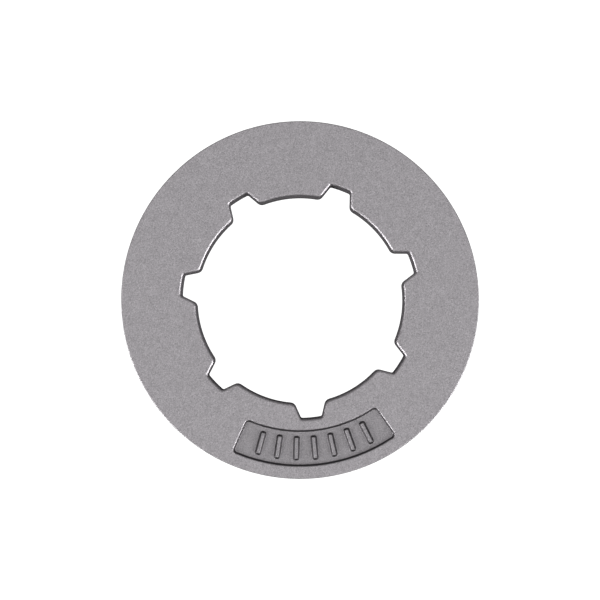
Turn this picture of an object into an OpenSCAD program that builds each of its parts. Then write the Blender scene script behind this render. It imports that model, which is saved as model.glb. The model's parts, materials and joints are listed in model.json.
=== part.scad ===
// Rim sprocket for a chainsaw clutch drum: a one-piece toothed ring that slides on a splined hub and
// drives the saw chain. It lies on its plain face, with the axis along +Z and the marked face up.
// One tooth, the spline gap under it and the recessed panel are centred on -Y.

/* [Ring] */
// Outside diameter, on which the chain's side links run
outer_d = 38.3; // [36:0.1:42]
// Thickness from face to face
thickness = 11; // [9.5:0.1:13]
// Bevel round the outside edge of each face
face_bevel = 0.15; // [0.05:0.01:0.4]

/* [Teeth and chain groove] */
// Number of teeth, each with a spline gap of the bore under it
tooth_count = 7; // [6:1:8]
// Width of the groove and pockets, which take the chain's drive links
groove_w = 2.3; // [1.5:0.1:3.5]
// Bevel of the groove's outer edges
groove_bevel = 0.3; // [0.1:0.05:0.6]
// Drop from the rims to the tips of the teeth
tip_drop = 1.1; // [0.6:0.1:1.5]
// Rounding of the tips of the teeth
tip_round = 0.8; // [0.4:0.1:1]
// Width of a pocket between two teeth, at the rims
pocket_mouth_w = 12.4; // [11:0.1:12.8]
// Width of a pocket at its floor
pocket_floor_w = 6; // [5:0.1:7]
// Rounding between a pocket's floor and its sides
pocket_round = 2.4; // [1:0.1:2.6]
// Wall between the floor of a pocket and the land of the bore under it
pocket_wall = 1.8; // [1.2:0.1:2.6]

/* [Splined bore] */
// Bore diameter over the lands between the spline gaps
land_d = 22.25; // [20:0.05:23]
// Diameter over the bottoms of the gaps
gap_d = 25.5; // [24.6:0.05:26.4]
// Width of a gap at its bottom
gap_bottom_w = 2.2; // [1.5:0.05:3]
// Slope of a gap's flanks from its middle line
flank_angle = 18.7; // [10:0.1:25]
// Rounding where a flank meets a land
land_round = 0.72; // [0.55:0.01:1]
// Rounding where a flank meets the bottom of a gap
gap_round = 0.22; // [0.1:0.01:0.4]
// Bevel of the bore's edges on each face
bore_bevel = 0.28; // [0.1:0.01:0.4]

/* [Recessed panel] */
// Angle that the panel spans round the face
panel_angle = 58; // [54:0.5:80]
// Land left between the panel and the outside of the ring
panel_margin = 1.37; // [0.8:0.01:1.8]
// Radial width of the panel
panel_w = 3.8; // [3.4:0.05:4.1]
// Depth of the panel's floor below the face
panel_depth = 0.5; // [0.3:0.05:0.8]
// Rounding of the panel's corners
panel_round = 0.45; // [0.2:0.05:1]

/* [Raised marks] */
// Angle between two neighbouring marks, of which there is one for each tooth
mark_pitch = 7; // [4:0.1:7]
// Radial length of a mark
mark_l = 2.4; // [1.5:0.1:2.8]
// Width of a mark
mark_w = 0.48; // [0.3:0.02:0.8]
// Drop from the face to the tops of the marks
mark_drop = 0.06; // [0.02:0.01:0.2]

/* [Hidden] */
$fn = 128;
// How far a cut runs past the surface that it starts from
past = 0.1;
// Overlap of a flat rounding with the walls that it joins, so that it crosses them cleanly
blend = 0.0005;
// Step between a bevelled rounding and its walls, so that no two cones graze each other
step = 0.002;
tooth_step = 360 / tooth_count;
outer_r = outer_d / 2;
tip_r = outer_r - tip_drop;
land_r = land_d / 2;
gap_r = gap_d / 2;
floor_r = land_r + pocket_wall;
groove_z = (thickness - groove_w) / 2;
pocket_slope = atan((pocket_mouth_w - pocket_floor_w) / 2 / (outer_r - floor_r));
// Distances from the axis to the plane of a pocket's side and to the plane of a gap's flank
side_reach = pocket_floor_w / 2 * cos(pocket_slope) - floor_r * sin(pocket_slope);
flank_reach = gap_bottom_w / 2 * cos(flank_angle) + gap_r * sin(flank_angle);
panel_outer_r = outer_r - panel_margin;
panel_inner_r = panel_outer_r - panel_w;
panel_z = thickness - panel_depth;
mark_r = (panel_outer_r + panel_inner_r) / 2;

// A cut is drawn about +X, between two flat walls that are mirror images. Each wall is drawn in a frame of
// its own, where x is the distance from the ring's axis along the wall's normal, out of the cut, and y runs
// out along the wall. There the wall is a line at x = wall, and it meets a circle about the axis of radius
// ring.
function meeting(wall, ring) = [wall, sqrt(ring * ring - wall * wall)];

// Centre of a rounding of radius r between the wall and the circle. sides says on which side of each it
// lies: 1 is the outer side and -1 the inner one.
function round_centre(wall, ring, r, sides) = meeting(wall + sides[0] * r, ring + sides[1] * r);

// The corner that the rounding replaces: from its centre to where it touches the wall, the sharp corner
// and where it touches the circle, all drawn past the wall and the circle by reach
function corner_points(wall, ring, r, sides, reach) =
    let (
        centre = round_centre(wall, ring, r, sides),
        far_wall = wall - sides[0] * reach,
        far_ring = ring - sides[1] * reach
    )
    [centre, [far_wall, centre.y], meeting(far_wall, far_ring), centre * far_ring / norm(centre)];

// Half width of a pocket at the distance x from the axis
function pocket_half(x) = pocket_floor_w / 2 + (x - floor_r) * tan(pocket_slope);

// Half section of a hole or post through the ring. Its radius is size, and a bevel at each face adds grow
// over the depth of the bevel and runs on past the face.
function bevelled(size, bevel, grow) = [
    [size + grow * (bevel + past), -past],
    [size, bevel],
    [size, thickness - bevel],
    [size + grow * (bevel + past), thickness + past]
];

// Solid of revolution from the axis out to an outline that runs upwards
module revolved(outline) {
    rotate_extrude() polygon(concat([[0, outline[0].y]], outline, [[0, outline[len(outline) - 1].y]]));
}

// Places what is drawn for one wall at both walls of a cut. A wall at slope 0 lies along +X, and a cut
// whose walls have a positive slope narrows outwards.
module at_walls(slope) {
    for (side = [0, 1]) mirror([0, side, 0]) rotate(slope - 90) children();
}

// What a rounding adds to a flat cut or takes from it
module corner(wall, ring, r, sides) {
    difference() {
        polygon(corner_points(wall, ring, r, sides, past));
        translate(round_centre(wall, ring, r, sides)) circle(r + blend);
    }
}

// The same for a cut through the ring whose edges are bevelled at both faces
module bevelled_corner(wall, ring, r, sides) {
    reach = bore_bevel + 2 * past;
    difference() {
        translate([0, 0, -past])
            linear_extrude(thickness + 2 * past)
                polygon(corner_points(wall, ring, r, sides, reach));
        translate(round_centre(wall, ring, r, sides)) revolved(bevelled(r - step, bore_bevel, -sides[0]));
    }
}

// Ring with its chain groove and no bore
module blank() {
    revolved([
        [outer_r - face_bevel, 0],
        [outer_r, face_bevel],
        [outer_r, groove_z - groove_bevel],
        [outer_r - groove_bevel, groove_z],
        [tip_r, groove_z],
        [tip_r, groove_z + groove_w],
        [outer_r - groove_bevel, groove_z + groove_w],
        [outer_r, groove_z + groove_w + groove_bevel],
        [outer_r, thickness - face_bevel],
        [outer_r - face_bevel, thickness]
    ]);
}

module pocket_section() {
    start = land_r;
    end = outer_r + past;
    difference() {
        polygon([
            [start, -pocket_half(start)],
            [end, -pocket_half(end)],
            [end, pocket_half(end)],
            [start, pocket_half(start)]
        ]);
        circle(floor_r);
        at_walls(-pocket_slope) corner(side_reach, floor_r, pocket_round, [-1, 1]);
    }
    at_walls(-pocket_slope) corner(side_reach, tip_r, tip_round, [1, -1]);
}

// Everything within one flank of a gap, from the ring's axis outwards
module flank_side() {
    rotate([90, 0, 0])
        translate([0, 0, -gap_d])
            linear_extrude(gap_d)
                polygon(concat([[-gap_d, -past]], bevelled(flank_reach, bore_bevel, 1), [[-gap_d, thickness + past]]));
}

module spline_gap() {
    difference() {
        intersection() {
            revolved(bevelled(gap_r, bore_bevel, 1));
            rotate(flank_angle - 90) flank_side();
            mirror([0, 1, 0]) rotate(flank_angle - 90) flank_side();
        }
        at_walls(flank_angle) bevelled_corner(flank_reach, gap_r, gap_round, [-1, -1]);
    }
    at_walls(flank_angle) bevelled_corner(flank_reach, land_r, land_round, [1, 1]);
}

module splined_bore() {
    revolved(bevelled(land_r, bore_bevel, 1));
    for (i = [0:tooth_count - 1]) rotate(i * tooth_step - 90) spline_gap();
}

module chain_pockets() {
    translate([0, 0, groove_z])
        linear_extrude(groove_w)
            for (i = [0:tooth_count - 1]) rotate((i + 0.5) * tooth_step - 90) pocket_section();
}

module panel() {
    rotate(-panel_angle / 2)
        rotate_extrude(angle = panel_angle)
            translate([panel_inner_r, panel_z]) square([panel_w, panel_depth + past]);
}

module panel_corners() {
    translate([0, 0, panel_z - past])
        linear_extrude(panel_depth + 3 * past)
            at_walls(-panel_angle / 2) {
                corner(0, panel_outer_r, panel_round, [-1, -1]);
                corner(0, panel_inner_r, panel_round, [-1, 1]);
            }
}

// Plain raised bars, one for each tooth
module marks() {
    for (i = [0:tooth_count - 1])
        rotate((i - (tooth_count - 1) / 2) * mark_pitch)
            translate([mark_r - mark_l / 2, -mark_w / 2, panel_z - past])
                cube([mark_l, mark_w, panel_depth - mark_drop + past]);
}

module rim_sprocket() {
    color([0.6, 0.59, 0.6])
        difference() {
            blank();
            splined_bore();
            chain_pockets();
            rotate(-90) difference() {
                panel();
                panel_corners();
                marks();
            }
        }
}

rim_sprocket();
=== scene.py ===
"""Rim sprocket of a chainsaw clutch drum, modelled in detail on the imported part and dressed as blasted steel.

The ring is drawn in millimetres in the part's own frame: its axis is +Z, it lies on its plain face, and the
recessed panel is centred on -Y. It is brought to metres at the end.
"""

import json
import logging
import math
from dataclasses import dataclass
from enum import Enum

import bmesh
import bpy
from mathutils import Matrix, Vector

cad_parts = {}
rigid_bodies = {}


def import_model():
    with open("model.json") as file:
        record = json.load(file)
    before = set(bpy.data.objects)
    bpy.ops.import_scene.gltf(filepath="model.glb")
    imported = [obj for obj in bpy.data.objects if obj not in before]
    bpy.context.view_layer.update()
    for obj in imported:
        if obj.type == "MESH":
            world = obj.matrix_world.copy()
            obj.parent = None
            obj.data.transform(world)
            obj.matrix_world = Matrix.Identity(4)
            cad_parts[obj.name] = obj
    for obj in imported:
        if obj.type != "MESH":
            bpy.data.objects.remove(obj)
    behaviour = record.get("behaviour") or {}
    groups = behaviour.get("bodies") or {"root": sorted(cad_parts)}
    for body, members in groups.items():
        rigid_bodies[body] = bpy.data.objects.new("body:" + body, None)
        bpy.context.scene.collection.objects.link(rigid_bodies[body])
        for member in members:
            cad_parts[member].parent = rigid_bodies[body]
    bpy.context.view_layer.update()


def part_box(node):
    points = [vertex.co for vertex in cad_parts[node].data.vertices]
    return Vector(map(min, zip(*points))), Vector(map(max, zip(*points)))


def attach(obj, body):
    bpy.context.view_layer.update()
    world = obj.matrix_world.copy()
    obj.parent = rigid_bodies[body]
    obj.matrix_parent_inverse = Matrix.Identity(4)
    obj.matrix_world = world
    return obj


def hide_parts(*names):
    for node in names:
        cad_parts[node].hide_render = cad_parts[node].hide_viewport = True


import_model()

NODE = "rim_sprocket"
BODY = "root"
SLOT = "blasted_steel"
MM = 0.001
QUARTER = math.radians(90)
UP = (0, 0, 1)
ACROSS = (0, 1, 0)
AXIS = Vector((0, 0, 0))
# Side of the ring on which the panel lies
PANEL_SIDE = -QUARTER
# Distance in millimetres within which two points are one
MERGE = 0.0005
# Rows of faces in each arc about the ring's axis, and in the rims all the way round
ARC_STEPS = 8
RIM_STEPS = 252
# Angle above which the edge between two faces stays sharp
SHARP_ANGLE = math.radians(40)
# How much finer the second layer of grain is than the first
GRAIN_FINENESS = 2.3
# Gain that brings the grain and the clouds to about -1 to 1, and the clouds' finer layers
GRAIN_GAIN = 2.0
CLOUD_GAIN = 4.0
CLOUD_LAYERS = 3
# Upward share of the normal, from that of a wall to that of an edge, and from an edge to a flat
WALL_TO_EDGE = (0.3, 0.7)
EDGE_TO_FLAT = (0.9, 0.99)

log = logging.getLogger("rim_sprocket")


class Side(Enum):
    """Side of a wall on which the flats of its profile lie, seen in the XZ plane."""

    OUTER = 1
    INNER = -1


class Corner(Enum):
    """Place of a rounding's centre between a flat wall and a circle: its side of the one and of the other."""

    MOUTH = (1, 1)
    GAP = (-1, -1)
    FLOOR = (-1, 1)
    TIP = (1, -1)


@dataclass(frozen=True)
class RingSizes:
    """Overall sizes of the ring, in millimetres.

    Args:
        outer_r: Radius of the rims.
        thickness: Height from face to face.
        tooth_count: Number of teeth, and of spline gaps.
        face_round: Rounding of the outside edge of each face.
        support: Width of the plain strip beside each rounding, which keeps the flats flat.
    """

    outer_r: float
    thickness: float
    tooth_count: int = 7
    face_round: float = 0.08
    support: float = 0.08

    @classmethod
    def from_frame(cls) -> "RingSizes":
        """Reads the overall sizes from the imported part.

        Returns:
            The sizes, in millimetres.
        """
        low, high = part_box(NODE)
        return cls(outer_r=min(high.x, -low.x, high.y, -low.y) / MM, thickness=(high.z - low.z) / MM)

    @property
    def half_step(self) -> float:
        """Half of the angle from one tooth to the next."""
        return math.pi / self.tooth_count


class Bench:
    """A mesh that is drawn with edit-mode operators: a profile in the XZ plane, then its sweep."""

    def __init__(self, name: str, start: Vector) -> None:
        """Puts down the first point of a profile.

        Args:
            name: Name of the new object.
            start: The first point.
        """
        bpy.ops.object.select_all(action="DESELECT")
        bpy.ops.mesh.primitive_plane_add(size=1, location=start)
        bpy.ops.object.transform_apply(location=True)
        self.piece = bpy.context.active_object
        self.piece.name = name
        self.point = start
        bpy.ops.object.mode_set(mode="EDIT")
        bpy.ops.mesh.select_all(action="SELECT")
        bpy.ops.mesh.merge(type="CENTER")

    def line(self, x: float, z: float) -> None:
        """Draws a straight stretch of the profile.

        Args:
            x: Way from the last point along X.
            z: Way from the last point along Z.
        """
        step = Vector((x, 0, z))
        bpy.ops.mesh.extrude_vertices_move(TRANSFORM_OT_translate={"value": step})
        self.point = self.point + step

    def bend(self, x: float, z: float, angle: float, steps: int) -> None:
        """Draws a round stretch of the profile.

        Args:
            x: Way from the last point to the centre along X.
            z: Way from the last point to the centre along Z.
            angle: Turn about the centre, positive from +X towards +Z.
            steps: Number of edges.
        """
        centre = self.point + Vector((x, 0, z))
        bpy.ops.mesh.spin(steps=steps, angle=angle, center=centre, axis=ACROSS)
        arm = self.point - centre
        turned = Vector((
            arm.x * math.cos(angle) - arm.z * math.sin(angle),
            0,
            arm.x * math.sin(angle) + arm.z * math.cos(angle),
        ))
        self.point = centre + turned

    def wall(
        self, height: float, side: Side, rounds: tuple[float, float], support: float, steps: int
    ) -> None:
        """Draws a wall from its upper flat down to its lower one, from a point on the upper flat.

        Args:
            height: Height from flat to flat.
            side: Side of the wall on which the flats lie.
            rounds: Radii of the upper and lower roundings.
            support: Width of the plain strip beside each rounding.
            steps: Number of edges in each rounding.
        """
        out = side.value
        upper, lower = rounds
        self.line(-out * support, 0)
        self.bend(0, -upper, out * QUARTER, steps)
        self.line(0, -support)
        self.line(0, upper + lower + 2 * support - height)
        self.line(0, -support)
        self.bend(out * lower, 0, out * QUARTER, steps)
        self.line(out * support, 0)

    def leaning_wall(
        self, height: float, lean: float, rounds: tuple[float, float], support: float, steps: int
    ) -> None:
        """Draws a wall that runs outwards as it falls from its upper flat to its lower one.

        Args:
            height: Height from flat to flat.
            lean: Lean of the wall from upright, in degrees.
            rounds: Radii of the upper and lower roundings.
            support: Width of the plain strip beside each rounding.
            steps: Number of edges in each rounding.
        """
        slope = math.radians(lean)
        upper, lower = rounds
        self.line(support, 0)
        self.bend(0, -upper, slope - QUARTER, steps)
        drop = height - (upper + lower) * (1 - math.sin(slope))
        self.line(drop * math.tan(slope), -drop)
        self.bend(lower * math.cos(slope), lower * math.sin(slope), QUARTER - slope, steps)
        self.line(support, 0)

    def hold_all(self) -> None:
        """Selects all that hangs together with the selection."""
        bpy.ops.mesh.select_linked()

    def turn(self, centre: Vector, angle: float, steps: int) -> None:
        """Sweeps the selected profile about an upright axis.

        Args:
            centre: A point on the axis.
            angle: Turn, positive from +X towards +Y.
            steps: Number of rows of faces.
        """
        bpy.ops.mesh.spin(steps=steps, angle=-angle, center=centre, axis=UP)

    def push(self, way: Vector) -> None:
        """Sweeps the selected profile straight along a way."""
        bpy.ops.mesh.extrude_edges_move(TRANSFORM_OT_translate={"value": way})

    def repeat(self, angle: float, copies: int) -> None:
        """Copies the whole mesh about the ring's axis.

        Args:
            angle: Angle from one copy to the next.
            copies: Number of copies beside the first.
        """
        bpy.ops.mesh.select_all(action="SELECT")
        bpy.ops.mesh.spin(steps=copies, angle=-angle * copies, dupli=True, center=AXIS, axis=UP)

    def mirror(self, axis: int, about: Vector) -> None:
        """Adds the mirror image of the whole mesh.

        Args:
            axis: Index of the axis along which it is mirrored.
            about: A point on the mirror plane.
        """
        flip = [1, 1, 1]
        flip[axis] = -1
        bpy.ops.mesh.select_all(action="SELECT")
        bpy.ops.mesh.duplicate()
        bpy.ops.transform.resize(value=flip, center_override=about)

    def place(self, angle: float) -> bpy.types.Object:
        """Merges the seams, leaves edit mode and turns the mesh about the ring's axis.

        Args:
            angle: Turn, positive from +X towards +Y.

        Returns:
            The finished sub-assembly.
        """
        bpy.ops.mesh.select_all(action="SELECT")
        bpy.ops.mesh.remove_doubles(threshold=MERGE)
        bpy.ops.object.mode_set(mode="OBJECT")
        self.piece.rotation_euler.z = angle
        bpy.ops.object.transform_apply(rotation=True)
        return self.piece


def unit(angle: float) -> Vector:
    """Gives the level unit vector at an angle from +X towards +Y."""
    return Vector((math.cos(angle), math.sin(angle), 0))


def in_plane(angle: float, along_normal: float, along_wall: float) -> Vector:
    """Turns a place in a wall's own frame into one in the ring's.

    Args:
        angle: Heading of the wall, away from the axis.
        along_normal: Distance from the axis along the wall's normal.
        along_wall: Distance out along the wall.

    Returns:
        The place in the ring's frame.
    """
    normal = Vector((-math.sin(angle), math.cos(angle), 0))
    return normal * along_normal + unit(angle) * along_wall


@dataclass(frozen=True)
class Flank:
    """A flat wall between two circles about the axis, with a rounding at each end.

    Args:
        heading: Direction of the wall, away from the axis.
        reach: Distance from the axis to the wall's plane.
    """

    heading: float
    reach: float

    def rounding(self, corner: Corner, ring: float, radius: float) -> Vector:
        """Finds the centre of the rounding between the wall and a circle.

        Args:
            corner: Side of the wall and of the circle on which it lies.
            ring: Radius of the circle.
            radius: Radius of the rounding.

        Returns:
            The centre.
        """
        wall_side, ring_side = corner.value
        across = self.reach + wall_side * radius
        along = math.sqrt((ring + ring_side * radius) ** 2 - across ** 2)
        return in_plane(self.heading, across, along)


def polar(point: Vector) -> float:
    """Gives the polar angle of a point about the axis."""
    return math.atan2(point.y, point.x)


def sweep_flank(bench: Bench, centres: tuple[Vector, Vector], heading: float, end: float, steps: int) -> None:
    """Sweeps a profile from +X round two roundings with a flat wall between them, and on to an end angle.

    Args:
        bench: The bench that holds the profile, drawn in the XZ plane.
        centres: Centres of the roundings, in their order on the way.
        heading: Direction of the wall, in the order of the way.
        end: Polar angle at which the way ends.
        steps: Rows of faces in each rounding.
    """
    first, second = centres
    wall = unit(heading)
    bench.hold_all()
    bench.turn(AXIS, polar(first), ARC_STEPS)
    bench.turn(first, heading - polar(first) - QUARTER, steps)
    bench.push(wall * (second - first).dot(wall))
    onwards = math.copysign(QUARTER, end - polar(second))
    bench.turn(second, polar(second) + onwards - heading, steps)
    bench.turn(AXIS, end - polar(second), ARC_STEPS)


@dataclass(frozen=True)
class SplinedBore:
    """Bore with spline gaps, the edges of which are broken by blasting and wear.

    Args:
        ring: Overall sizes of the ring.
        land_r: Radius over the lands.
        gap_r: Radius over the bottoms of the gaps.
        gap_bottom_w: Width of a gap at its bottom.
        flank_angle: Slope of a gap's flanks from its middle line, in degrees.
        land_round: Rounding where a flank meets a land.
        gap_round: Rounding where a flank meets the bottom of a gap.
        edge_round: Rounding of the bore's edges on each face.
        steps: Rows of faces in each rounding.
    """

    ring: RingSizes
    land_r: float = 11.125
    gap_r: float = 12.75
    gap_bottom_w: float = 2.2
    flank_angle: float = 18.7
    land_round: float = 0.72
    gap_round: float = 0.22
    edge_round: float = 0.28
    steps: int = 6

    def build(self) -> bpy.types.Object:
        """Models half a gap and land, mirrors it and copies it round the bore.

        Returns:
            The bore's wall, with a strip of each face.
        """
        ring = self.ring
        start = self.gap_r + self.edge_round + ring.support
        bench = Bench("splined_bore", Vector((start, 0, ring.thickness)))
        rounds = (self.edge_round, self.edge_round)
        bench.wall(ring.thickness, Side.OUTER, rounds, ring.support, self.steps)
        slope = math.radians(self.flank_angle)
        reach = self.gap_bottom_w / 2 * math.cos(slope) + self.gap_r * math.sin(slope)
        flank = Flank(heading=-slope, reach=reach)
        centres = (
            flank.rounding(Corner.GAP, self.gap_r, self.gap_round),
            flank.rounding(Corner.MOUTH, self.land_r, self.land_round),
        )
        sweep_flank(bench, centres, math.pi - slope, ring.half_step, self.steps)
        bench.mirror(1, AXIS)
        bench.repeat(2 * ring.half_step, ring.tooth_count - 1)
        return bench.place(PANEL_SIDE)


@dataclass(frozen=True)
class ChainGroove:
    """Groove between the rims, with the teeth and pockets that take the chain's drive links.

    Args:
        ring: Overall sizes of the ring.
        width: Width of the groove.
        edge_round: Rounding of the groove's outer edges.
        tip_drop: Drop from the rims to the tips of the teeth.
        tip_round: Rounding of the tips of the teeth.
        pocket_mouth_w: Width of a pocket at the rims.
        pocket_floor_w: Width of a pocket at its floor.
        pocket_round: Rounding between a pocket's floor and its sides.
        floor_r: Radius of the pockets' floors.
        root_round: Fillet between the teeth and the groove's sides.
        edge_steps: Rows of faces in the rims' rounded edges.
        side_steps: Rows of faces in the roundings of the pockets and tips.
        root_steps: Rows of faces in the fillets.
    """

    ring: RingSizes
    width: float = 2.3
    edge_round: float = 0.3
    tip_drop: float = 1.1
    tip_round: float = 0.8
    pocket_mouth_w: float = 12.4
    pocket_floor_w: float = 6
    pocket_round: float = 2.4
    floor_r: float = 12.925
    root_round: float = 0.15
    edge_steps: int = 6
    side_steps: int = 10
    root_steps: int = 4

    @property
    def top(self) -> float:
        """Height of the groove's upper side."""
        return (self.ring.thickness + self.width) / 2

    def build_teeth(self) -> bpy.types.Object:
        """Models half a pocket and tooth, mirrors it and copies it round the ring.

        Returns:
            The wall of the teeth and pockets, with a strip of each side of the groove.
        """
        ring = self.ring
        start = self.floor_r + self.root_round + ring.support
        bench = Bench("teeth", Vector((start, 0, self.top)))
        rounds = (self.root_round, self.root_round)
        bench.wall(self.width, Side.OUTER, rounds, ring.support, self.root_steps)
        rise = (self.pocket_mouth_w - self.pocket_floor_w) / 2
        slope = math.atan(rise / (ring.outer_r - self.floor_r))
        reach = self.pocket_floor_w / 2 * math.cos(slope) - self.floor_r * math.sin(slope)
        side = Flank(heading=slope, reach=reach)
        tip_r = ring.outer_r - self.tip_drop
        centres = (
            side.rounding(Corner.FLOOR, self.floor_r, self.pocket_round),
            side.rounding(Corner.TIP, tip_r, self.tip_round),
        )
        sweep_flank(bench, centres, slope, ring.half_step, self.side_steps)
        bench.mirror(1, AXIS)
        bench.repeat(2 * ring.half_step, ring.tooth_count - 1)
        return bench.place(PANEL_SIDE + ring.half_step)

    def build_rims(self) -> bpy.types.Object:
        """Turns the section of the upper rim round the axis and mirrors it for the lower one.

        Returns:
            Both rims, with a strip of the faces and of the groove's sides.
        """
        ring = self.ring
        start = ring.outer_r - ring.face_round - ring.support
        bench = Bench("rims", Vector((start, 0, ring.thickness)))
        rounds = (ring.face_round, self.edge_round)
        bench.wall(ring.thickness - self.top, Side.INNER, rounds, ring.support, self.edge_steps)
        bench.hold_all()
        bench.turn(AXIS, 2 * math.pi, RIM_STEPS)
        bench.mirror(2, Vector((0, 0, ring.thickness / 2)))
        return bench.place(PANEL_SIDE)


@dataclass(frozen=True)
class RecessedPanel:
    """Arc-shaped panel sunk into the marked face.

    Args:
        ring: Overall sizes of the ring.
        angle: Angle that the panel spans, in degrees.
        margin: Land between the panel and the outside of the ring.
        width: Radial width.
        depth: Depth of its floor below the face.
        corner_round: Rounding of its corners.
        edge_round: Rounding of its edge on the face.
        floor_round: Fillet round its floor.
        draft: Lean of its walls from upright, in degrees.
        section_steps: Rows of faces in its rounded edge and in its fillet.
        corner_steps: Rows of faces in each corner.
    """

    ring: RingSizes
    angle: float = 59.4
    margin: float = 1.37
    width: float = 3.8
    depth: float = 0.5
    corner_round: float = 0.45
    edge_round: float = 0.12
    floor_round: float = 0.08
    draft: float = 18
    section_steps: int = 5
    corner_steps: int = 6

    @property
    def outer_r(self) -> float:
        """Radius of the outer wall."""
        return self.ring.outer_r - self.margin

    @property
    def inner_r(self) -> float:
        """Radius of the inner wall."""
        return self.outer_r - self.width

    @property
    def floor(self) -> float:
        """Height of the panel's floor."""
        return self.ring.thickness - self.depth

    def build(self) -> bpy.types.Object:
        """Models half of the panel's wall and mirrors it.

        Returns:
            The wall, with a strip of the face and of the floor.
        """
        support = self.ring.support
        start = self.inner_r - self.edge_round - support
        bench = Bench("panel_wall", Vector((start, 0, self.ring.thickness)))
        rounds = (self.edge_round, self.floor_round)
        bench.leaning_wall(self.depth, self.draft, rounds, support, self.section_steps)
        side = Flank(heading=math.radians(self.angle / 2), reach=0)
        centres = (
            side.rounding(Corner.FLOOR, self.inner_r, self.corner_round),
            side.rounding(Corner.GAP, self.outer_r, self.corner_round),
        )
        sweep_flank(bench, centres, side.heading, 0, self.corner_steps)
        bench.mirror(1, AXIS)
        return bench.place(PANEL_SIDE)


@dataclass(frozen=True)
class RaisedMarks:
    """Plain raised bars on the panel's floor, one for each tooth.

    Args:
        panel: The panel that holds them.
        pitch: Angle between two neighbours, in degrees.
        length: Radial length of a bar.
        width: Width of a bar at half its height.
        drop: Drop from the face to the tops of the bars.
        corner_round: Rounding of a bar's corners.
        top_round: Rounding of its top.
        root_round: Fillet round its foot.
        draft: Lean of its flanks from upright, in degrees.
        support: Width of the plain strip beside each rounding.
        section_steps: Rows of faces in its rounded top and in its fillet.
        corner_steps: Rows of faces in each corner.
    """

    panel: RecessedPanel
    pitch: float = 7
    length: float = 2.4
    width: float = 0.48
    drop: float = 0.06
    corner_round: float = 0.16
    top_round: float = 0.13
    root_round: float = 0.08
    draft: float = 15
    support: float = 0.02
    section_steps: int = 4
    corner_steps: int = 5

    @property
    def top(self) -> float:
        """Height of the tops of the bars."""
        return self.panel.ring.thickness - self.drop

    def build(self) -> bpy.types.Object:
        """Models one bar and copies it along the panel.

        Returns:
            The flanks of all bars, with a strip of their tops and of the floor.
        """
        panel = self.panel
        middle = panel.inner_r + panel.width / 2
        end = middle + self.length / 2 - self.top_round
        start = Vector((end, self.width / 2 - self.corner_round, self.top))
        bench = Bench("raised_marks", start - Vector((self.support, 0, 0)))
        rounds = (self.top_round, self.root_round)
        bench.leaning_wall(self.top - panel.floor, self.draft, rounds, self.support, self.section_steps)
        bench.hold_all()
        corner = start - Vector((self.corner_round - self.top_round, 0, 0))
        heading = QUARTER
        for side in (self.length, self.width, self.length, self.width):
            bench.turn(corner, QUARTER, self.corner_steps)
            heading += QUARTER
            run = unit(heading) * (side - 2 * self.corner_round)
            bench.push(run)
            corner = corner + run
        first = -self.pitch * (panel.ring.tooth_count - 1) / 2
        bench.repeat(math.radians(self.pitch), panel.ring.tooth_count - 1)
        return bench.place(PANEL_SIDE + math.radians(first))


class Maths(Enum):
    """Operations of the Math node that the finishes use."""

    ADD = "ADD"
    SUBTRACT = "SUBTRACT"
    MULTIPLY = "MULTIPLY"
    DIVIDE = "DIVIDE"
    LARGER = "MAXIMUM"


Feed = bpy.types.NodeSocket | float | tuple[float, ...]


class Graph:
    """A tree of shader nodes that is wired in code."""

    def __init__(self, tree: bpy.types.NodeTree) -> None:
        """Takes the tree that is wired."""
        self.tree = tree

    def feed(self, socket: bpy.types.NodeSocket, value: Feed) -> None:
        """Links a socket to another one, or sets it.

        Args:
            socket: Input that takes the value.
            value: Output to link, or a plain value.
        """
        if isinstance(value, bpy.types.NodeSocket):
            self.tree.links.new(value, socket)
        else:
            socket.default_value = value

    def node(self, kind: str, feeds: dict[str, Feed] | None = None, **settings: str) -> bpy.types.Node:
        """Adds a node.

        Args:
            kind: Type of the node, without its common prefix.
            feeds: Values or links of its inputs, by name.
            settings: Properties of the node.

        Returns:
            The new node.
        """
        node = self.tree.nodes.new("ShaderNode" + kind)
        for name, setting in settings.items():
            setattr(node, name, setting)
        for name, value in (feeds or {}).items():
            self.feed(node.inputs[name], value)
        return node

    def maths(self, operation: Maths, first: Feed, second: Feed) -> bpy.types.NodeSocket:
        """Works out one value from two.

        Args:
            operation: What is done with them.
            first: First value.
            second: Second value.

        Returns:
            The result.
        """
        node = self.tree.nodes.new("ShaderNodeMath")
        node.operation = operation.value
        self.feed(node.inputs[0], first)
        self.feed(node.inputs[1], second)
        return node.outputs[0]

    def stretch(
        self, value: Feed, source: tuple[float, float], target: tuple[float, float]
    ) -> bpy.types.NodeSocket:
        """Maps a value smoothly from one range to another, and holds it there.

        Args:
            value: The value.
            source: Range that it comes from.
            target: Range that it goes to.

        Returns:
            The mapped value.
        """
        node = self.node("MapRange", {"Value": value}, interpolation_type="SMOOTHSTEP")
        node.inputs["From Min"].default_value, node.inputs["From Max"].default_value = source
        node.inputs["To Min"].default_value, node.inputs["To Max"].default_value = target
        return node.outputs["Result"]

    def noise(self, vector: Feed, scale: Feed, detail: float) -> bpy.types.NodeSocket:
        """Adds a noise pattern.

        Args:
            vector: Place.
            scale: Grains to the metre.
            detail: Number of finer layers.

        Returns:
            The noise, about 0.5.
        """
        feeds = {"Vector": vector, "Scale": scale, "Detail": detail}
        return self.node("TexNoise", feeds, noise_dimensions="3D").outputs["Fac"]

    def group(self, tree: bpy.types.NodeTree, feeds: dict[str, Feed]) -> bpy.types.Node:
        """Places a shared effect.

        Args:
            tree: The effect's node group.
            feeds: Values or links of its inputs, by name.

        Returns:
            The group's node.
        """
        node = self.tree.nodes.new("ShaderNodeGroup")
        node.node_tree = tree
        for name, value in feeds.items():
            self.feed(node.inputs[name], value)
        return node


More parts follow.
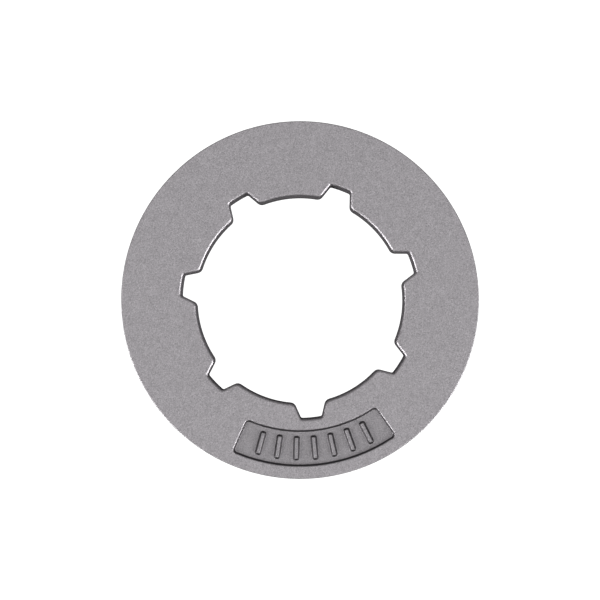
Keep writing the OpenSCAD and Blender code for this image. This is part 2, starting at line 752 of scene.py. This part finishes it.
class Effect:
    """A node group with named inputs and outputs."""

    def __init__(self, name: str, inputs: dict[str, str], outputs: tuple[str, ...]) -> None:
        """Makes the empty group.

        Args:
            name: Name of the group.
            inputs: Types of its inputs, by name.
            outputs: Names of its outputs, which are all plain values.
        """
        self.tree = bpy.data.node_groups.new(name, "ShaderNodeTree")
        for label, kind in inputs.items():
            self.tree.interface.new_socket(name=label, in_out="INPUT", socket_type="NodeSocket" + kind)
        for label in outputs:
            self.tree.interface.new_socket(name=label, in_out="OUTPUT", socket_type="NodeSocketFloat")
        self.graph = Graph(self.tree)
        self.given = self.tree.nodes.new("NodeGroupInput").outputs
        self.result = self.tree.nodes.new("NodeGroupOutput").inputs


def grain_effect() -> bpy.types.NodeTree:
    """Makes the fine grain that blasting leaves.

    Returns:
        A group that puts out a tone of about -1 to 1 and a height of 0 to 1.
    """
    effect = Effect("blasted_grain", {"Place": "Vector", "Size": "Float"}, ("Tone", "Height"))
    graph = effect.graph
    coarse = graph.maths(Maths.DIVIDE, 1.0, effect.given["Size"])
    fine = graph.maths(Maths.MULTIPLY, coarse, GRAIN_FINENESS)
    base = graph.noise(effect.given["Place"], coarse, 1)
    over = graph.noise(effect.given["Place"], fine, 0)
    both = graph.maths(Maths.ADD, base, over)
    graph.feed(effect.result["Height"], graph.maths(Maths.MULTIPLY, both, 0.5))
    centred = graph.maths(Maths.SUBTRACT, both, 1.0)
    graph.feed(effect.result["Tone"], graph.maths(Maths.MULTIPLY, centred, GRAIN_GAIN))
    return effect.tree


def mottle_effect() -> bpy.types.NodeTree:
    """Makes soft clouds.

    Returns:
        A group that puts out a tone of about -1 to 1.
    """
    effect = Effect("mottle", {"Place": "Vector", "Size": "Float"}, ("Tone",))
    graph = effect.graph
    scale = graph.maths(Maths.DIVIDE, 1.0, effect.given["Size"])
    clouds = graph.noise(effect.given["Place"], scale, CLOUD_LAYERS)
    centred = graph.maths(Maths.SUBTRACT, clouds, 0.5)
    graph.feed(effect.result["Tone"], graph.maths(Maths.MULTIPLY, centred, CLOUD_GAIN))
    return effect.tree


def slope_effect() -> bpy.types.NodeTree:
    """Tells rounded edges and upright walls from flats.

    Returns:
        A group that puts out a mask of each.
    """
    effect = Effect("slopes", {"Normal": "Vector"}, ("Edge", "Wall"))
    graph = effect.graph
    upright = graph.node("SeparateXYZ", {"Vector": effect.given["Normal"]}).outputs["Z"]
    steep = graph.stretch(upright, WALL_TO_EDGE, (1, 0))
    leaning = graph.stretch(upright, EDGE_TO_FLAT, (1, 0))
    graph.feed(effect.result["Wall"], steep)
    graph.feed(effect.result["Edge"], graph.maths(Maths.SUBTRACT, leaning, steep))
    return effect.tree


@dataclass(frozen=True)
class BlastedSteel:
    """Finish of the ring: hardened steel with a fine blasted grain and worn, brighter edges, and painted shade
    on the panel's walls.

    Args:
        ring: Overall sizes of the ring.
        panel: The recessed panel, on the steep walls and edges of which shade is painted.
        tint: Colour of the metal.
        roughness: Roughness of the blasted faces.
        edge_roughness: Roughness of the worn edges.
        grain: Size of the grain, in millimetres.
        grain_tone: Share by which the grain lightens and darkens the metal.
        relief: Depth of the grain, in millimetres.
        mottle: Size of the soft clouds, in millimetres.
        mottle_tone: Share by which they lighten and darken the metal.
        wall_shade_tone: Tone of the painted shade on the panel's steep walls and edges, beside that of the
            faces.
        floor_tone: Tone of the panel's floor beside that of the faces.
        reach: How far the panel's tones reach past its walls, in millimetres.
        reach_blur: Width of the soft end of that reach, in millimetres.
        below: How far they reach below the panel's floor, in millimetres.
        skin: How far below the face they end, in millimetres.
        skin_blur: Width of the soft ends of those two, in millimetres.
    """

    ring: RingSizes
    panel: RecessedPanel
    tint: tuple[float, float, float] = (0.52, 0.497, 0.52)
    roughness: float = 0.5
    edge_roughness: float = 0.36
    grain: float = 0.13
    grain_tone: float = 0.4
    relief: float = 0.025
    mottle: float = 1.2
    mottle_tone: float = 0.04
    # Painted shade: darkening of the panel's steep walls and edges in the base colour
    wall_shade_tone: float = 0.25
    floor_tone: float = 0.84
    reach: float = 0.3
    reach_blur: float = 0.01
    below: float = 0.05
    skin: float = 0.04
    skin_blur: float = 0.02

    def zone(self, graph: Graph, value: Feed, low: float, high: float, blur: float) -> bpy.types.NodeSocket:
        """Makes a mask that is 1 where a length lies between two others.

        Args:
            graph: Graph of the material.
            value: The length, in metres.
            low: Lower end, in millimetres.
            high: Upper end, in millimetres.
            blur: Width of the soft ends, in millimetres.

        Returns:
            The mask.
        """
        rise = graph.stretch(value, ((low - blur) * MM, (low + blur) * MM), (0, 1))
        fall = graph.stretch(value, ((high - blur) * MM, (high + blur) * MM), (1, 0))
        return graph.maths(Maths.MULTIPLY, rise, fall)

    def recess(self, graph: Graph, place: bpy.types.NodeSocket) -> bpy.types.NodeSocket:
        """Makes a mask that is 1 on the panel's floor, walls and bars.

        Args:
            graph: Graph of the material.
            place: Place on the ring.

        Returns:
            The mask.
        """
        split = graph.node("SeparateXYZ", {"Vector": place})
        level = graph.node("CombineXYZ", {"X": split.outputs["X"], "Y": split.outputs["Y"]}).outputs[0]
        radius = graph.node("VectorMath", {0: level}, operation="LENGTH").outputs["Value"]
        panel = self.panel
        nearest = panel.inner_r - self.reach
        furthest = panel.outer_r + self.reach
        in_panel = self.zone(graph, radius, nearest, furthest, self.reach_blur)
        lowest = panel.floor - self.below
        highest = self.ring.thickness - self.skin
        in_depth = self.zone(graph, split.outputs["Z"], lowest, highest, self.skin_blur)
        return graph.maths(Maths.MULTIPLY, in_panel, in_depth)

    def material(self) -> bpy.types.Material:
        """Makes the material.

        Returns:
            The new material.
        """
        material = bpy.data.materials.new(SLOT)
        material.use_nodes = True
        graph = Graph(material.node_tree)
        shader = material.node_tree.nodes["Principled BSDF"]
        shader.inputs["Metallic"].default_value = 1
        where = graph.node("TexCoord")
        place = where.outputs["Object"]
        grain = graph.group(grain_effect(), {"Place": place, "Size": self.grain * MM})
        mottle = graph.group(mottle_effect(), {"Place": place, "Size": self.mottle * MM})
        slopes = graph.group(slope_effect(), {"Normal": where.outputs["Normal"]})

        tone = graph.maths(Maths.MULTIPLY, grain.outputs["Tone"], self.grain_tone)
        clouds = graph.maths(Maths.MULTIPLY, mottle.outputs["Tone"], self.mottle_tone)
        tone = graph.maths(Maths.ADD, tone, clouds)
        tone = graph.maths(Maths.ADD, tone, 1.0)
        recess = self.recess(graph, place)
        # Painted shade: the panel's steep walls and rounded edges are darkened in the base colour, standing in
        # for the shade in the recess
        steep = graph.maths(Maths.LARGER, slopes.outputs["Wall"], slopes.outputs["Edge"])
        painted_shade = graph.maths(Maths.MULTIPLY, recess, steep)
        tone = graph.maths(Maths.MULTIPLY, tone, graph.stretch(recess, (0, 1), (1, self.floor_tone)))
        tone = graph.maths(Maths.MULTIPLY, tone, graph.stretch(painted_shade, (0, 1), (1, self.wall_shade_tone)))
        colour = graph.node("VectorMath", {0: self.tint, "Scale": tone}, operation="SCALE")
        graph.feed(shader.inputs["Base Color"], colour.outputs["Vector"])

        roughness = graph.stretch(slopes.outputs["Edge"], (0, 1), (self.roughness, self.edge_roughness))
        graph.feed(shader.inputs["Roughness"], roughness)
        bump = graph.node("Bump", {"Height": grain.outputs["Height"], "Distance": self.relief * MM})
        graph.feed(shader.inputs["Normal"], bump.outputs["Normal"])
        return material


class RimSprocket:
    """The whole ring: its sub-assemblies joined to one closed piece."""

    def __init__(self) -> None:
        """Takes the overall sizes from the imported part."""
        self.sizes = RingSizes.from_frame()
        self.bore = SplinedBore(self.sizes)
        self.groove = ChainGroove(self.sizes)
        self.panel = RecessedPanel(self.sizes)
        self.marks = RaisedMarks(self.panel)
        self.piece: bpy.types.Object | None = None

    def fill_flat(self, height: float) -> None:
        """Closes the open edges at one height with flat faces.

        Args:
            height: Height of the edges.
        """
        bpy.ops.mesh.select_all(action="DESELECT")
        mesh = bmesh.from_edit_mesh(self.piece.data)
        for edge in mesh.edges:
            level = all(abs(point.co.z - height) < MERGE for point in edge.verts)
            if edge.is_boundary and level:
                edge.select = True
        mesh.select_flush_mode()
        bmesh.update_edit_mesh(self.piece.data)
        bpy.ops.mesh.fill(use_beauty=True)

    def build(self) -> None:
        """Models the sub-assemblies, joins them and closes the flats between them."""
        parts = [
            self.bore.build(),
            self.groove.build_teeth(),
            self.groove.build_rims(),
            self.panel.build(),
            self.marks.build(),
        ]
        bpy.ops.object.select_all(action="DESELECT")
        for part in parts:
            part.select_set(True)
        bpy.context.view_layer.objects.active = parts[0]
        bpy.ops.object.join()
        self.piece = parts[0]
        self.piece.name = "dressed_rim_sprocket"
        bpy.ops.object.mode_set(mode="EDIT")
        bpy.ops.mesh.select_mode(type="EDGE")
        face = self.sizes.thickness
        groove_top = self.groove.top
        for height in (face, 0, groove_top, face - groove_top, self.panel.floor, self.marks.top):
            self.fill_flat(height)
        bpy.ops.mesh.select_all(action="SELECT")
        bpy.ops.mesh.remove_doubles(threshold=MERGE)
        bpy.ops.mesh.normals_make_consistent(inside=False)
        bpy.ops.object.mode_set(mode="OBJECT")
        self.piece.scale = (MM, MM, MM)
        bpy.ops.object.transform_apply(scale=True)
        bpy.ops.object.shade_smooth_by_angle(angle=SHARP_ANGLE)
        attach(self.piece, BODY)
        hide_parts(NODE)

    def dress(self) -> None:
        """Gives the ring its finish."""
        self.piece.data.materials.clear()
        self.piece.data.materials.append(BlastedSteel(self.sizes, self.panel).material())


@dataclass(frozen=True)
class Softbox:
    """A soft box that lights the ring, placed by its direction as the picture shows it.

    Args:
        name: Name of the light.
        bearing: Direction in the picture, in degrees from its right towards its top.
        tilt: Angle from straight above, in degrees.
        width: Width across the bearing, in metres.
        height: Height along the tilt, in metres.
        glow: Radiance of its face.
        distance: Distance from the ring, in metres.
    """

    name: str
    bearing: float
    tilt: float
    width: float
    height: float
    glow: float
    distance: float = 0.8

    def build(self, roll: float) -> None:
        """Hangs the box.

        Args:
            roll: Turn of the ring in the picture, in radians.
        """
        bearing = math.radians(self.bearing) - roll
        tilt = math.radians(self.tilt)
        way = Vector((math.cos(bearing) * math.sin(tilt), math.sin(bearing) * math.sin(tilt), math.cos(tilt)))
        light = bpy.data.lights.new(self.name, "AREA")
        light.shape = "RECTANGLE"
        light.size = self.width
        light.size_y = self.height
        light.energy = self.glow * math.pi * self.width * self.height
        box = bpy.data.objects.new(self.name, light)
        bpy.context.scene.collection.objects.link(box)
        box.location = way * self.distance
        box.rotation_euler = (tilt, 0, bearing + QUARTER)


@dataclass(frozen=True)
class Studio:
    """Camera, floor and light.

    Args:
        distance: Height of the camera above the marked face, in metres.
        scale: Pixels to the metre at the marked face.
        picture: Width of the picture, in pixels.
        near: Nearest distance that the camera sees, in metres.
        aside: Place of the camera towards the panel, off the axis, in metres.
        roll: Turn of the ring in the picture, in degrees.
        boxes: Soft boxes.
        floor_glow: Brightness of the floor in the picture.
        floor_tone: Tone with which the floor lights the ring.
        floor_size: Width of the floor, in metres.
        floor_gap: Gap between the floor and the ring, in metres.
        fill: Brightness of the room.
    """

    distance: float = 0.605
    scale: float = 9347
    picture: float = 600
    near: float = 0.01
    aside: float = 0.0037
    roll: float = 5.62
    boxes: tuple[Softbox, ...] = (
        Softbox("left_box", bearing=207, tilt=56, width=0.35, height=0.35, glow=9),
        Softbox("right_box", bearing=333, tilt=56, width=0.35, height=0.35, glow=9),
        Softbox("top_box", bearing=90, tilt=0, width=0.5, height=0.5, glow=0.5),
    )
    floor_glow: float = 1.2
    floor_tone: float = 0.08
    floor_size: float = 3
    floor_gap: float = 0.00002
    fill: float = 0.25

    def build_camera(self) -> None:
        """Hangs the camera over the ring, a little towards the panel."""
        roll = math.radians(self.roll)
        data = bpy.data.cameras.new("camera")
        data.lens = self.scale * self.distance * data.sensor_width / self.picture
        data.clip_start = self.near
        camera = bpy.data.objects.new("camera", data)
        bpy.context.scene.collection.objects.link(camera)
        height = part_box(NODE)[1].z + self.distance
        camera.location = (-self.aside * math.sin(roll), -self.aside * math.cos(roll), height)
        camera.rotation_euler = (math.atan(self.aside / self.distance), 0, -roll)
        bpy.context.scene.camera = camera

    def floor_material(self) -> bpy.types.Material:
        """Makes a material that the camera sees as even white, and that lights the ring only faintly.

        Returns:
            The new material.
        """
        material = bpy.data.materials.new("floor")
        material.use_nodes = True
        tree = material.node_tree
        tree.nodes.clear()
        path = tree.nodes.new("ShaderNodeLightPath")
        matt = tree.nodes.new("ShaderNodeBsdfDiffuse")
        matt.inputs["Color"].default_value = (self.floor_tone, self.floor_tone, self.floor_tone, 1)
        glow = tree.nodes.new("ShaderNodeEmission")
        glow.inputs["Strength"].default_value = self.floor_glow
        mix = tree.nodes.new("ShaderNodeMixShader")
        out = tree.nodes.new("ShaderNodeOutputMaterial")
        tree.links.new(path.outputs["Is Camera Ray"], mix.inputs[0])
        tree.links.new(matt.outputs["BSDF"], mix.inputs[1])
        tree.links.new(glow.outputs["Emission"], mix.inputs[2])
        tree.links.new(mix.outputs["Shader"], out.inputs["Surface"])
        return material

    def build_floor(self) -> None:
        """Lays the floor just under the ring."""
        bpy.ops.object.select_all(action="DESELECT")
        bpy.ops.mesh.primitive_plane_add(size=self.floor_size, location=(0, 0, -self.floor_gap))
        floor = bpy.context.active_object
        floor.name = "floor"
        floor.data.materials.append(self.floor_material())

    def build(self) -> None:
        """Sets up the camera, the floor and the lights."""
        self.build_camera()
        self.build_floor()
        for box in self.boxes:
            box.build(math.radians(self.roll))
        world = bpy.data.worlds.new("room")
        world.use_nodes = True
        background = world.node_tree.nodes["Background"]
        background.inputs["Color"].default_value = (self.fill, self.fill, self.fill, 1)
        bpy.context.scene.world = world
        bpy.context.scene.view_settings.view_transform = "Standard"


def main() -> None:
    """Builds the ring and its studio, and logs the ring's face count."""
    logging.basicConfig(level=logging.INFO, format="%(name)s: %(message)s")
    sprocket = RimSprocket()
    sprocket.build()
    sprocket.dress()
    log.info("%s: built with %d faces", sprocket.piece.name, len(sprocket.piece.data.polygons))
    Studio().build()


if __name__ == "__main__":
    main()
